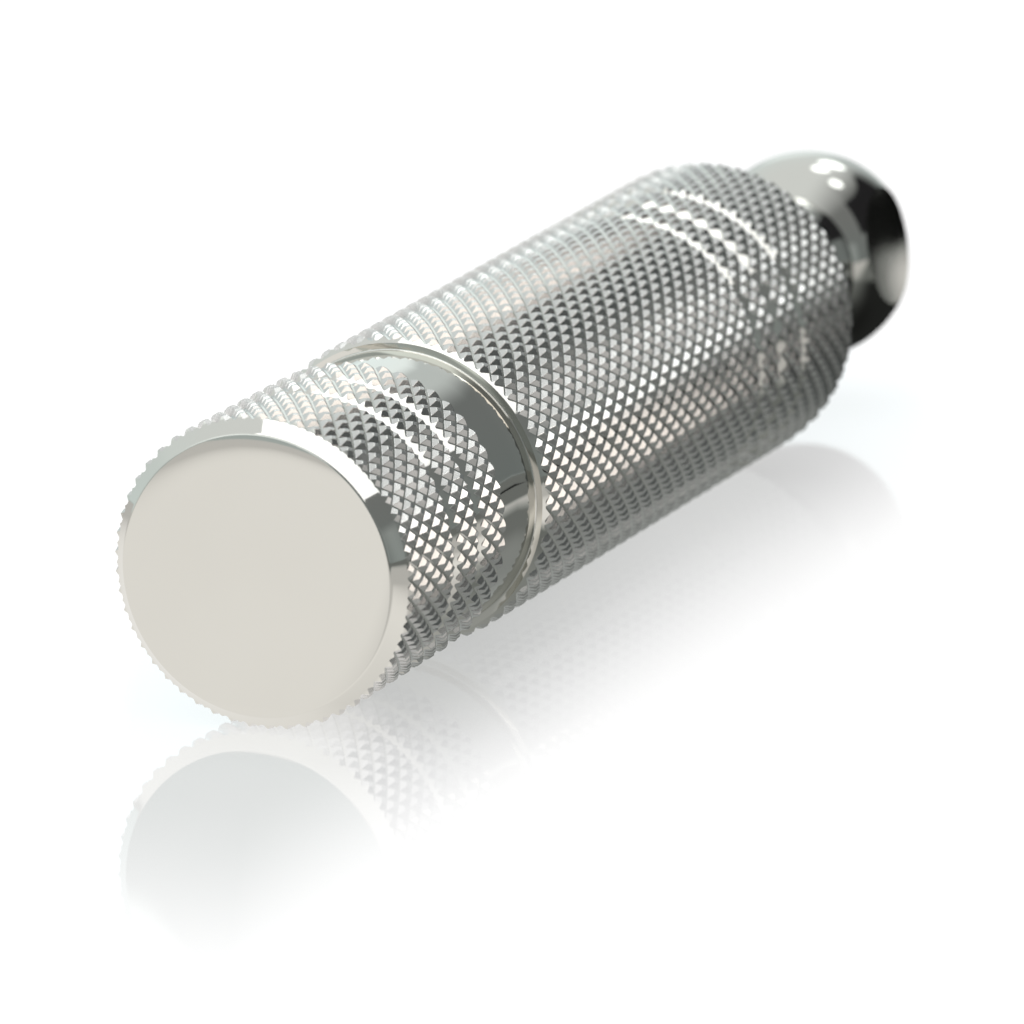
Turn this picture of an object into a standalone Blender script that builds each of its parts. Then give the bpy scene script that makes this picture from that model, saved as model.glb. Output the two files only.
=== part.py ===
"""Folding foot peg with a ball-ended tongue, a knurled barrel and a knurled end cap.

Frame: +X points outboard along the peg, +Z is up, and the origin is the middle
of the peg's length, on its own axis.  Stations (the _X values) are measured from
the ball's centre, where the peg's axis meets the fold pivot's axis; an empty holds
that point, and every piece is parented to it.  The pivot's axis lies in the plane
across the peg, tilted from +Y towards +Z, so the folded peg leans towards -Y.
"Outer" is towards +X and "inner" towards -X.

The knurls are held at their tip envelope: a barrel's radius here is the radius
over the tips of its diamonds.  Lengths are in millimetres.
"""
import math

import bmesh
import bpy
from mathutils import Matrix, Vector

MM = 0.001

# ------------------------------------------------------------------ dimensions
PIVOT_TILT = math.radians(10.5)    # pivot axis, from +Y towards +Z
GAP = 0.30                         # clearance between neighbouring pieces

# tongue
BALL_R = 9.7
BALL_STEP = 9                      # degrees between the ball's profile points
BALL_SWEEP = 135                   # degrees from the inner pole to the waist
FLAT_HALF = 8.0                    # half of the 16 mm across the two flats
FLAT_CUT = (32.0, 32.0, 12.0)      # block removed outside each flat
PIVOT_BORE_R = 4.5
PIVOT_CUT_START = -20.0            # along the pivot, well clear of the ball
WAIST_STEPS = 6
WAIST_TARGET_R = 6.3               # radius the waist is drawn towards
WAIST_PULL = 0.72                  # how far it is drawn, 1 being all the way
WAIST_BLEND_POWER = 0.8            # below 1 gives a fuller, longer hollow
WAIST_FLARE_POWER = 3              # keeps the rise to the hub near the hub
HUB_R = 11.2
HUB_X0 = 22.1
HUB_CHAMFER = 0.6
SPIGOT_R = 7.8
SPIGOT_END = 39.0
SPIGOT_CHAMFER = 0.8
CORE_HOLE_R = 4.3
CORE_HOLE_X = 22.4
DETENT_HOLE_R = 2.6
DETENT_HOLE_X = 1.0                # inner end, within the pivot bore

# pivot sleeve; its lengths run along the pivot's axis from the ball's centre
SLEEVE_R = PIVOT_BORE_R - GAP
SLEEVE_BORE_R = 3.3
SLEEVE_OPEN = FLAT_HALF + 0.15     # end on the -Y side, proud of that flat
SLEEVE_END = 6.0                   # end on the +Y side, short of that flat
SLEEVE_CHAMFER = 0.25
TRACK_R = 3.85                     # floor of the detent ball's track
TRACK_HALF = 1.4
TRACK_SLOPE = 0.4                  # width of each sloping side of the track

# detent
DETENT_BALL_R = 2.0
DETENT_BALL_X = TRACK_R + GAP + DETENT_BALL_R
PLUG_X0 = 16.0
PLUG_X1 = 21.4
PLUG_R = DETENT_HOLE_R - GAP
PLUG_CHAMFER = 0.4
PLUG_HEX_AF = 2.5
PLUG_HEX_DEPTH = 2.2
SPRING_X0 = 8.5
SPRING_X1 = PLUG_X0 - GAP
SPRING_COIL_R = 1.6
SPRING_WIRE_R = 0.32
SPRING_TURNS = 6
SPRING_TURN_STEPS = 10
SPRING_SPREAD = 0.06               # how much wider the end coils are spaced

# barrel
BARREL_X0 = 26.2
BARREL_X1 = 101.0
BARREL_R_IN = 13.75                # over the knurl at the inner end
BARREL_R_OUT = 13.1                # over the knurl at the outer end
BARREL_EDGE = 0.65                 # chamfer at the inner end
BARREL_OUT_EDGE = (0.3, 0.15)      # chamfer at the outer end: along x, radial
BARREL_GROOVES = (39.2, 45.2, 50.0)
RECESS_R = 11.9
FILLET_R = 1.0
COUNTERBORE_R = SPIGOT_R + GAP
THREAD_R = 10.0                    # M20 x 1.5, held at its major radius
THREAD_END = 121.8
THREAD_CHAMFER = 0.8
HEAD_POCKET_R = 7.0
HEAD_POCKET_X = 110.0
CORE_BORE_R = 4.4

# thin turned grooves of both knurls
GROOVE_HALF = 0.74                 # half the width at the mouth
GROOVE_FLOOR = 0.45                # width of the floor over that of the mouth
GROOVE_DEPTH = 0.60

# index pins between tongue and barrel
PIN_COUNT = 3
PIN_R = 0.8
PIN_CHAMFER = 0.2
PIN_PCR = 9.6                      # radius of the circle through their centres
PIN_X0 = 23.4
PIN_X1 = 31.0
TONGUE_PIN_CUT_END = 40.0          # beyond the spigot
BARREL_PIN_CUT_START = 20.0        # inboard of the barrel

# core bolt and its washers
BOLT_R = CORE_HOLE_R - GAP
BOLT_TIP = 25.0
BOLT_TIP_CHAMFER = 0.8
BOLT_HEAD_R = 6.5
BOLT_HEAD_HEIGHT = 7.0
BOLT_HEAD_CHAMFER = 0.5
BOLT_HEX_AF = 6.0
BOLT_HEX_DEPTH = 4.0
WASHER_RI = BOLT_R + GAP
WASHER_RO = HEAD_POCKET_R - GAP
WASHER_X0 = HEAD_POCKET_X + GAP
WASHER_X1 = WASHER_X0 + 1.6
LOCK_RO = 6.4
LOCK_X0 = WASHER_X1 + GAP
LOCK_X1 = LOCK_X0 + 1.9
LOCK_SPLIT = (4.0, 1.0, 6.0)       # block that splits the lock washer
LOCK_SPLIT_Z = 5.5
LOCK_SPLIT_SLANT = math.radians(20)
BOLT_HEAD_X0 = LOCK_X1 + GAP
BOLT_HEAD_X1 = BOLT_HEAD_X0 + BOLT_HEAD_HEIGHT

# o-rings and their grooves
ORING_R = 0.8
ORING_POINTS = 10
ORING_GROOVE_HALF = 1.1
ORING_GROOVE_DEPTH = 1.9
CAP_ORING_X = 111.8
REAR_ORING_X = 34.5

# end cap
CAP_X0 = 109.5
CAP_R = 12.8
CAP_EDGE = 0.3
CAP_GROOVES = (114.75, 120.0)
CAP_KNURL_END = 129.8
CAP_CHAMFER_R = 12.5
CAP_FACE_X = 131.1
CAP_FACE_R = 11.53
CAP_FACE_EDGE = (0.12, 0.25)       # small chamfer round the face: along x, radial
CAP_BORE_R = THREAD_R + GAP
CAP_BORE_END = THREAD_END + 1.0
CAP_CONE = (1.5, 3.0)              # taper closing the bore: along x, radial
RECESS_END = CAP_X0 - GAP          # the barrel's recess ends just inside the cap

# ----------------------------------------------------- fresh scene and frames
for ob in list(bpy.data.objects):
    bpy.data.objects.remove(ob, do_unlink=True)

parts = bpy.data.collections.new("foot_peg")
cutters = bpy.data.collections.new("foot_peg_cutters")
bpy.context.scene.collection.children.link(parts)
bpy.context.scene.collection.children.link(cutters)

pivot_point = bpy.data.objects.new("pivot_point", None)
parts.objects.link(pivot_point)
pivot_point.location = (-(CAP_FACE_X - BALL_R) / 2.0 * MM, 0.0, 0.0)
pivot_point.hide_render = True


def shift(x, y, z):
    return Matrix.Translation(Vector((x, y, z)) * MM)


# frames relative to the pivot point; local Z lies along the peg or the pivot
ALONG_X = Matrix.Rotation(math.radians(90.0), 4, "Y")
PIVOT_AXIS = Vector((0.0, math.cos(PIVOT_TILT), math.sin(PIVOT_TILT)))
PIVOT_FRAME = PIVOT_AXIS.to_track_quat("Z", "X").to_matrix().to_4x4()
PIN_FRAMES = [shift(0.0, PIN_PCR * math.cos(angle), PIN_PCR * math.sin(angle)) @ ALONG_X
              for angle in (math.tau * i / PIN_COUNT for i in range(PIN_COUNT))]


# ------------------------------------------------------------- object helpers
def material(name, color, roughness, metallic):
    mat = bpy.data.materials.new(name)
    mat.use_nodes = True
    inputs = mat.node_tree.nodes["Principled BSDF"].inputs
    inputs["Base Color"].default_value = (*color, 1.0)
    inputs["Roughness"].default_value = roughness
    inputs["Metallic"].default_value = metallic
    return mat


def mesh_from(name, bm):
    mesh = bpy.data.meshes.new(name)
    bm.to_mesh(mesh)
    bm.free()
    return mesh


def link(name, mesh, collection, frame):
    """Add an object, placed by its frame relative to the pivot point."""
    ob = bpy.data.objects.new(name, mesh)
    collection.objects.link(ob)
    ob.parent = pivot_point
    ob.matrix_basis = frame
    return ob


def add_part(name, mesh, mat, frame):
    mesh.materials.append(mat)
    return link(name, mesh, parts, frame)


def turned(name, outline, mat, segments, closed, frame=ALONG_X):
    """A turned piece from (station, radius) points, stations along local Z.

    The outside runs from the outer end back to the inner end, and a bore runs
    forward again.  A closed outline makes a ring or a piece with a through bore.
    """
    bm = bmesh.new()
    verts = [bm.verts.new((radius * MM, 0.0, x * MM)) for x, radius in outline]
    for start, end in zip(verts, verts[1:]):
        bm.edges.new((start, end))
    if closed:
        bm.edges.new((verts[-1], verts[0]))
    ob = add_part(name, mesh_from(name, bm), mat, frame)
    screw = ob.modifiers.new("turn", "SCREW")
    screw.axis = "Z"
    screw.angle = math.tau
    screw.steps = segments
    screw.render_steps = segments
    screw.use_merge_vertices = True
    screw.merge_threshold = 0.00001
    screw.use_smooth_shade = True
    return ob


def cut(ob, name, bm, frame):
    """Cut the shape in bm, kept as a hidden helper object, out of ob."""
    cutter = link(name, mesh_from(name, bm), cutters, frame)
    cutter.hide_render = True
    cutter.display_type = "WIRE"
    mod = ob.modifiers.new("cut_" + name, "BOOLEAN")
    mod.operation = "DIFFERENCE"
    mod.solver = "EXACT"
    mod.object = cutter


def cut_cylinder(ob, name, radius, start, end, segments, frame=ALONG_X):
    """Cut a cylinder that runs from start to end along the frame's Z."""
    bm = bmesh.new()
    bmesh.ops.create_cone(bm, cap_ends=True, segments=segments, radius1=radius * MM,
                          radius2=radius * MM, depth=(end - start) * MM)
    cut(ob, name, bm, frame @ shift(0.0, 0.0, (start + end) / 2.0))


def cut_hex_socket(ob, name, face_x, across_flats, depth):
    """Cut a hexagonal socket into an outer face."""
    cut_cylinder(ob, name, across_flats / 2 / math.cos(math.pi / 6),
                 face_x - depth, face_x + depth, segments=6)


def cut_pin_holes(ob, prefix, start, end):
    for i, frame in enumerate(PIN_FRAMES):
        cut_cylinder(ob, f"{prefix}_pin_cutter_{i + 1}", PIN_R + GAP, start, end,
                     segments=16, frame=frame)


def cut_box(ob, name, size, frame):
    bm = bmesh.new()
    bmesh.ops.create_cube(bm, size=1.0)
    bmesh.ops.scale(bm, vec=Vector(size) * MM, verts=bm.verts)
    cut(ob, name, bm, frame)


# ------------------------------------------- outlines, as (x, radius) points
def arc(centre_x, centre_r, radius, start, end, steps):
    """Points on a circle in the profile plane; angle 0 is along +x."""
    angles = [start + (end - start) * i / steps for i in range(steps + 1)]
    return [(centre_x + radius * math.cos(angle), centre_r + radius * math.sin(angle))
            for angle in angles]


def thin_groove(x, radius):
    """A shallow turned groove, passed from its outer side to its inner side."""
    floor_half = GROOVE_FLOOR * GROOVE_HALF
    floor_r = radius - GROOVE_DEPTH
    return [(x + GROOVE_HALF, radius), (x + floor_half, floor_r),
            (x - floor_half, floor_r), (x - GROOVE_HALF, radius)]


def oring_groove(x, radius):
    """A square groove, passed from its outer side to its inner side."""
    outer, inner = x + ORING_GROOVE_HALF, x - ORING_GROOVE_HALF
    floor_r = radius - ORING_GROOVE_DEPTH
    return [(outer, radius), (outer, floor_r), (inner, floor_r), (inner, radius)]


def solid_rod(x0, x1, radius, chamfer):
    """A solid rod chamfered at both ends."""
    return [(x1, 0.0), (x1, radius - chamfer), (x1 - chamfer, radius),
            (x0 + chamfer, radius), (x0, radius - chamfer), (x0, 0.0)]


def flat_ring(x0, x1, inner_r, outer_r):
    return [(x1, outer_r), (x0, outer_r), (x0, inner_r), (x1, inner_r)]


# ------------------------------------------------------------------- materials
polished = material("polished_steel", color=(0.80, 0.79, 0.76), roughness=0.08, metallic=1.0)
knurled = material("knurled_steel", color=(0.74, 0.73, 0.70), roughness=0.16, metallic=1.0)
bolt_steel = material("bolt_steel", color=(0.42, 0.42, 0.43), roughness=0.35, metallic=1.0)
spring_steel = material("spring_steel", color=(0.55, 0.54, 0.52), roughness=0.30, metallic=1.0)
zinc = material("zinc_steel", color=(0.62, 0.63, 0.66), roughness=0.38, metallic=1.0)
rubber = material("black_rubber", color=(0.02, 0.02, 0.02), roughness=0.75, metallic=0.0)


# ---------------------------------------------------------------------- tongue
def ball_and_waist():
    """The profile from the ball's inner pole out to the hub."""
    angles = [math.radians(degrees) for degrees in range(0, BALL_SWEEP + 1, BALL_STEP)]
    points = [(-BALL_R * math.cos(angle), BALL_R * math.sin(angle)) for angle in angles]
    leave_x, leave_r = points[-1]
    for i in range(1, WAIST_STEPS + 1):
        u = i / WAIST_STEPS
        x = leave_x + (HUB_X0 - leave_x) * u
        blend = math.sin(math.pi * u) ** WAIST_BLEND_POWER
        flare = leave_r + (HUB_R - HUB_CHAMFER - leave_r) * u ** WAIST_FLARE_POWER
        points.append((x, flare - (flare - WAIST_TARGET_R) * WAIST_PULL * blend))
    return points


def build_tongue():
    shoulder_x = BARREL_X0 - GAP
    # forward along the stepped core hole, then back along the outside
    outline = [(DETENT_HOLE_X, 0.0), (DETENT_HOLE_X, DETENT_HOLE_R),
               (CORE_HOLE_X, DETENT_HOLE_R), (CORE_HOLE_X, CORE_HOLE_R),
               (SPIGOT_END, CORE_HOLE_R), (SPIGOT_END, SPIGOT_R - SPIGOT_CHAMFER),
               (SPIGOT_END - SPIGOT_CHAMFER, SPIGOT_R),
               *oring_groove(REAR_ORING_X, SPIGOT_R),
               (shoulder_x, SPIGOT_R), (shoulder_x, HUB_R),
               (HUB_X0 + HUB_CHAMFER, HUB_R),
               *reversed(ball_and_waist())]
    tongue = turned("tongue", outline, polished, segments=40, closed=False)
    flat_cut_centre = FLAT_HALF + FLAT_CUT[2] / 2
    for side, sign in (("a", 1.0), ("b", -1.0)):
        cut_box(tongue, "flat_cutter_" + side, FLAT_CUT,
                PIVOT_FRAME @ shift(0.0, 0.0, sign * flat_cut_centre))
    # the pivot bore enters through the -Y flat and stops short of the other one
    cut_cylinder(tongue, "pivot_bore_cutter", PIVOT_BORE_R, PIVOT_CUT_START,
                 SLEEVE_END + GAP, segments=40, frame=PIVOT_FRAME)
    cut_pin_holes(tongue, "tongue", PIN_X0 - GAP, TONGUE_PIN_CUT_END)


# ---------------------------------------------------------------- pivot sleeve
def build_pivot_sleeve():
    floor_half = TRACK_HALF - TRACK_SLOPE
    end_r = SLEEVE_R - SLEEVE_CHAMFER
    outline = [(SLEEVE_END, end_r), (SLEEVE_END - SLEEVE_CHAMFER, SLEEVE_R),
               (TRACK_HALF, SLEEVE_R), (floor_half, TRACK_R),
               (-floor_half, TRACK_R), (-TRACK_HALF, SLEEVE_R),
               (-SLEEVE_OPEN + SLEEVE_CHAMFER, SLEEVE_R), (-SLEEVE_OPEN, end_r),
               (-SLEEVE_OPEN, SLEEVE_BORE_R), (SLEEVE_END, SLEEVE_BORE_R)]
    turned("pivot_sleeve", outline, zinc, segments=40, closed=True, frame=PIVOT_FRAME)


# ---------------------------------------------------------------------- detent
def build_detent_ball():
    bm = bmesh.new()
    bmesh.ops.create_uvsphere(bm, u_segments=16, v_segments=10, radius=DETENT_BALL_R * MM)
    mesh = mesh_from("detent_ball", bm)
    mesh.shade_smooth()
    add_part("detent_ball", mesh, bolt_steel, shift(DETENT_BALL_X, 0.0, 0.0))


def build_detent_spring():
    curve = bpy.data.curves.new("detent_spring_path", "CURVE")
    curve.dimensions = "3D"
    curve.bevel_depth = SPRING_WIRE_R * MM
    curve.bevel_resolution = 1
    curve.use_fill_caps = True
    path = curve.splines.new("POLY")
    steps = SPRING_TURNS * SPRING_TURN_STEPS
    path.points.add(steps)
    start_x = SPRING_X0 + SPRING_WIRE_R
    length = SPRING_X1 - SPRING_X0 - 2 * SPRING_WIRE_R
    for i in range(steps + 1):
        angle = math.tau * i / SPRING_TURN_STEPS
        u = i / steps
        # the coils are spaced wider at the ends than in the middle
        travel = u + SPRING_SPREAD * math.sin(math.tau * u)
        path.points[i].co = ((start_x + length * travel) * MM,
                             SPRING_COIL_R * math.cos(angle) * MM,
                             SPRING_COIL_R * math.sin(angle) * MM, 1.0)

    # turn the bevelled curve into a mesh with its end caps welded on
    wire = bpy.data.objects.new("detent_spring_wire", curve)
    parts.objects.link(wire)
    depsgraph = bpy.context.evaluated_depsgraph_get()
    mesh = bpy.data.meshes.new_from_object(wire.evaluated_get(depsgraph))
    bm = bmesh.new()
    bm.from_mesh(mesh)
    bmesh.ops.remove_doubles(bm, verts=bm.verts, dist=0.000005)
    bmesh.ops.recalc_face_normals(bm, faces=bm.faces)
    bm.to_mesh(mesh)
    bm.free()
    mesh.materials.clear()
    mesh.shade_smooth()
    mesh.name = "detent_spring"
    bpy.data.objects.remove(wire, do_unlink=True)
    add_part("detent_spring", mesh, spring_steel, Matrix.Identity(4))


def build_detent_plug():
    plug = turned("detent_plug", solid_rod(PLUG_X0, PLUG_X1, PLUG_R, PLUG_CHAMFER),
                  bolt_steel, segments=20, closed=False)
    cut_hex_socket(plug, "plug_hex_cutter", PLUG_X1, PLUG_HEX_AF, PLUG_HEX_DEPTH)


# ---------------------------------------------------------- pins and o-rings
def build_index_pins():
    outline = solid_rod(PIN_X0, PIN_X1, PIN_R, PIN_CHAMFER)
    for i, frame in enumerate(PIN_FRAMES):
        turned(f"index_pin_{i + 1}", outline, bolt_steel, segments=16, closed=False,
               frame=frame)


def build_orings():
    """Each ring's outside is flush with the surface its groove is cut in."""
    steps = ORING_POINTS - 1
    for name, x, surface_r in (("rear_oring", REAR_ORING_X, SPIGOT_R),
                               ("cap_oring", CAP_ORING_X, THREAD_R)):
        outline = arc(x, surface_r - ORING_R, ORING_R, 0.0,
                      math.tau * steps / ORING_POINTS, steps)
        turned(name, outline, rubber, segments=36, closed=True)


# -------------------------------------------------------------- barrel, knurled
def barrel_radius(x):
    u = (x - BARREL_X0) / (BARREL_X1 - BARREL_X0)
    return BARREL_R_IN + (BARREL_R_OUT - BARREL_R_IN) * u


def build_barrel():
    # threaded end with its o-ring groove, then the recess up to the knurl
    outline = [(THREAD_END, THREAD_R - THREAD_CHAMFER),
               (THREAD_END - THREAD_CHAMFER, THREAD_R),
               *oring_groove(CAP_ORING_X, THREAD_R),
               (RECESS_END, THREAD_R), (RECESS_END, RECESS_R)]
    outline += arc(BARREL_X1 + FILLET_R, RECESS_R + FILLET_R, FILLET_R,
                   -math.pi / 2, -math.pi, 3)
    # tapered knurl
    edge_x, edge_r = BARREL_OUT_EDGE
    outline += [(BARREL_X1, BARREL_R_OUT - edge_r), (BARREL_X1 - edge_x, BARREL_R_OUT)]
    for x in reversed(BARREL_GROOVES):
        outline += thin_groove(x, barrel_radius(x))
    outline += [(BARREL_X0 + BARREL_EDGE, BARREL_R_IN),
                (BARREL_X0, BARREL_R_IN - BARREL_EDGE)]
    # forward along the spigot's counterbore, the core bore and the head pocket
    outline += [(BARREL_X0, COUNTERBORE_R), (SPIGOT_END + GAP, COUNTERBORE_R),
                (SPIGOT_END + GAP, CORE_BORE_R), (HEAD_POCKET_X, CORE_BORE_R),
                (HEAD_POCKET_X, HEAD_POCKET_R), (THREAD_END, HEAD_POCKET_R)]
    barrel = turned("barrel_sleeve", outline, knurled, segments=48, closed=True)
    cut_pin_holes(barrel, "barrel", BARREL_PIN_CUT_START, PIN_X1 + GAP)


# ---------------------------------------------------- core bolt and its washers
def build_core_bolt():
    outline = [(BOLT_HEAD_X1, 0.0), (BOLT_HEAD_X1, BOLT_HEAD_R - BOLT_HEAD_CHAMFER),
               (BOLT_HEAD_X1 - BOLT_HEAD_CHAMFER, BOLT_HEAD_R),
               (BOLT_HEAD_X0, BOLT_HEAD_R), (BOLT_HEAD_X0, BOLT_R),
               (BOLT_TIP + BOLT_TIP_CHAMFER, BOLT_R),
               (BOLT_TIP, BOLT_R - BOLT_TIP_CHAMFER), (BOLT_TIP, 0.0)]
    bolt = turned("core_bolt", outline, bolt_steel, segments=32, closed=False)
    cut_hex_socket(bolt, "bolt_hex_cutter", BOLT_HEAD_X1, BOLT_HEX_AF, BOLT_HEX_DEPTH)


def build_washers():
    turned("bolt_washer", flat_ring(WASHER_X0, WASHER_X1, WASHER_RI, WASHER_RO),
           zinc, segments=32, closed=True)
    lock = turned("lock_washer", flat_ring(LOCK_X0, LOCK_X1, WASHER_RI, LOCK_RO),
                  spring_steel, segments=32, closed=True)
    # a slanted cut splits the lock washer at its top
    cut_box(lock, "lock_split_cutter", LOCK_SPLIT,
            shift((LOCK_X0 + LOCK_X1) / 2, 0.0, LOCK_SPLIT_Z)
            @ Matrix.Rotation(LOCK_SPLIT_SLANT, 4, "Z"))


# --------------------------------------------------------------------- end cap
def build_end_cap():
    face_edge_x, face_edge_r = CAP_FACE_EDGE
    cone_x, cone_r = CAP_CONE
    outline = [(CAP_FACE_X, 0.0), (CAP_FACE_X, CAP_FACE_R - face_edge_r),
               (CAP_FACE_X - face_edge_x, CAP_FACE_R),
               (CAP_KNURL_END, CAP_CHAMFER_R), (CAP_KNURL_END - CAP_EDGE, CAP_R)]
    for x in reversed(CAP_GROOVES):
        outline += thin_groove(x, CAP_R)
    outline += [(CAP_X0 + CAP_EDGE, CAP_R), (CAP_X0, CAP_R - CAP_EDGE),
                (CAP_X0, CAP_BORE_R), (CAP_BORE_END, CAP_BORE_R),
                (CAP_BORE_END + cone_x, CAP_BORE_R - cone_r),
                (CAP_BORE_END + cone_x, 0.0)]
    turned("end_cap", outline, knurled, segments=48, closed=False)


build_tongue()
build_pivot_sleeve()
build_detent_ball()
build_detent_spring()
build_detent_plug()
build_index_pins()
build_orings()
build_barrel()
build_core_bolt()
build_washers()
build_end_cap()
bpy.context.view_layer.update()
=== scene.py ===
# A knurled steel peg turned about the X axis, +Z up: the ball-ended tongue is at the low-X
# end, then the knurled barrel, then the end cap at the high-X end.  The pivot through the
# ball runs close to Y, its +Y end tilted up.  A white floor and a studio room surround it.
import math

import bmesh
import bpy
from mathutils import Matrix, Vector


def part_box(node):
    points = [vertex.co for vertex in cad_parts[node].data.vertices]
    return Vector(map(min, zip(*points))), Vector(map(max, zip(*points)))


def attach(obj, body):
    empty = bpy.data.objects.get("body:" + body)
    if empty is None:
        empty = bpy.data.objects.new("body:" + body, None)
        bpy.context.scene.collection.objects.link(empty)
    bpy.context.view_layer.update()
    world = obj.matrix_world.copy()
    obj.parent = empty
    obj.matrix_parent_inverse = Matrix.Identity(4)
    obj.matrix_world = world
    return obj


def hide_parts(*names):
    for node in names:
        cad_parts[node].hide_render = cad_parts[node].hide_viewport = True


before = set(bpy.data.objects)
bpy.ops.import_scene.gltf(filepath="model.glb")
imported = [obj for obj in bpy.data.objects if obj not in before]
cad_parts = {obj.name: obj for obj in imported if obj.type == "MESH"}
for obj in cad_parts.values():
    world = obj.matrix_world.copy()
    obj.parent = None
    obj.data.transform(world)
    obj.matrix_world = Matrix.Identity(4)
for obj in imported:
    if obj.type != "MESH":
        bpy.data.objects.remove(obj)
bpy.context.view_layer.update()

MM = 0.001
TAU = math.tau
PIVOT_TILT = math.radians(10.5)
PIVOT_AXIS = Vector((0.0, math.cos(PIVOT_TILT), math.sin(PIVOT_TILT)))
ALONG_PIVOT = PIVOT_AXIS.to_track_quat("Z", "X").to_matrix().to_4x4()   # local Z -> pivot axis
ALONG_X = Matrix.Rotation(math.radians(90.0), 4, "Y")                   # local Z -> world X

# Piece sizes are in millimetres, with x measured from the ball's centre.  Finished meshes
# are moved by OFFSET into the frame.
BALL_R = 9.7
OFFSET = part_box("tongue")[0].x / MM + BALL_R


def turned_extent(piece):
    """Low end, high end and radius of one of the frame's turned pieces."""
    low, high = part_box(piece)
    return low.x / MM - OFFSET, high.x / MM - OFFSET, high.z / MM


BARREL_X0, BARREL_X1, BARREL_R = turned_extent("barrel_sleeve")
CAP_X0, CAP_X1, CAP_R = turned_extent("end_cap")

# Barrel: tapers from BARREL_R to SHOULDER_R, then steps down to a recess and the thread
SHOULDER_X = 101.0
SHOULDER_R = 13.1
RECESS_R = 11.9
RECESS_END = CAP_X0 - 0.3         # a small gap before the cap
FILLET_R = 0.15                   # between shoulder and recess
FILLET_STEPS = 6
THREAD_R = 10.0
THREAD_DEPTH = 0.8
THREAD_PITCH = 1.5
BARREL_BORE_R = 8.1               # bore at the tongue's end
BOLT_BORE_R = 4.4
CAP_END_BORE_R = 7.0
CAP_BORE_R = 10.3
CAP_THREAD_ROOT_R = 10.95

# Turned grooves in the knurl
BARREL_GROOVES = (39.2, 45.2, 50.0)
CAP_GROOVES = (114.75, 120.0)
GROOVE_DEPTH = 0.82
GROOVE_HALF = 0.88                # half width at the mouth
GROOVE_FLOOR_HALF = 0.08

# Knurl
KNURL_COUNT = 50                  # diamonds around
KNURL_PITCH = 2.629               # length of one diamond along x
KNURL_DEPTH = 0.37
TIP_FLAT = 0.33                   # share of a diamond left flat at its tip
VALLEY = 0.12                     # share taken by the flat valley between two diamonds
CLEAR = 0.05                      # the turned envelope stays this far over the tips

# Index pin holes, on a circle about the X axis
PIN_COUNT = 3
PIN_CIRCLE_R = 9.6
PIN_HOLE_R = 1.1
BARREL_HOLE_END, BARREL_HOLE_DEPTH = 31.3, 10.0
TONGUE_HOLE_START, TONGUE_HOLE_DEPTH = 23.1, 16.0

# Tongue and pivot
FLAT_HALF = 8.0                   # half thickness of the ball between its flats
CUTTER_WIDTH, CUTTER_THICK = 32.0, 12.0
WAIST_END = 22.1
WAIST_STEPS = 24
WAIST_R = 6.3                     # radius the waist is drawn in towards
COLLAR_R = 11.2
SPIGOT_R = 7.8
TONGUE_BORE_R = 4.3
PIVOT_BORE_R = 4.5
PIVOT_BORE_END = 6.3              # blind end, towards +Y
COUNTERSINK_START = 0.2           # inside the -Y flat
COUNTERSINK_OVER = 4.0            # past the -Y flat
SLEEVE_END = 8.15                 # the sleeve's -Y end
SLEEVE_R, SLEEVE_WAIST_R, SLEEVE_BORE_R = 4.2, 3.85, 3.3

# Horizontal direction, as (x, y), that lies to the right in the camera's view
VIEW_RIGHT = (-0.3646, 0.931)


# --------------------------------------------------------------- mesh helpers
def shade(mesh, sharp_degrees):
    mesh.shade_smooth()
    mesh.set_sharp_from_angle(angle=math.radians(sharp_degrees))


def new_object(name, bm, material=None, sharp_degrees=None):
    mesh = bpy.data.meshes.new(name)
    bm.to_mesh(mesh)
    bm.free()
    ob = bpy.data.objects.new(name, mesh)
    bpy.context.scene.collection.objects.link(ob)
    if material:
        mesh.materials.append(material)
    if sharp_degrees is not None:
        shade(mesh, sharp_degrees)
    return ob


def revolve(outline, segments, closed, matrix=ALONG_X):
    """Turned solid from (x, radius) points; a closed outline joins its last point to its first."""
    bm = bmesh.new()
    rings = []
    for x, radius in outline:
        if radius < 1e-6:
            rings.append([bm.verts.new((0.0, 0.0, x * MM))])
        else:
            rings.append([bm.verts.new((radius * MM * math.cos(TAU * i / segments),
                                        radius * MM * math.sin(TAU * i / segments), x * MM))
                          for i in range(segments)])
    pairs = list(zip(rings, rings[1:]))
    if closed:
        pairs.append((rings[-1], rings[0]))
    for first, second in pairs:
        for i in range(segments):
            j = (i + 1) % segments
            if len(first) == 1:
                bm.faces.new((first[0], second[i], second[j]))
            elif len(second) == 1:
                bm.faces.new((first[j], first[i], second[0]))
            else:
                bm.faces.new((first[j], first[i], second[i], second[j]))
    bmesh.ops.transform(bm, matrix=matrix, verts=bm.verts)
    bmesh.ops.recalc_face_normals(bm, faces=bm.faces)
    return bm


def solid(bm):
    """Working object, named when it is handed over."""
    return new_object("tmp", bm)


def cut(base, tool_bm, operation="DIFFERENCE"):
    """Apply a boolean to base with a throwaway tool."""
    tool = solid(tool_bm)
    modifier = base.modifiers.new("b", "BOOLEAN")
    modifier.operation = operation
    modifier.solver = "EXACT"
    modifier.object = tool
    bpy.context.view_layer.update()
    depsgraph = bpy.context.evaluated_depsgraph_get()
    mesh = bpy.data.meshes.new_from_object(base.evaluated_get(depsgraph))
    base.modifiers.remove(modifier)
    base.data = mesh
    bpy.data.objects.remove(tool, do_unlink=True)


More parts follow.
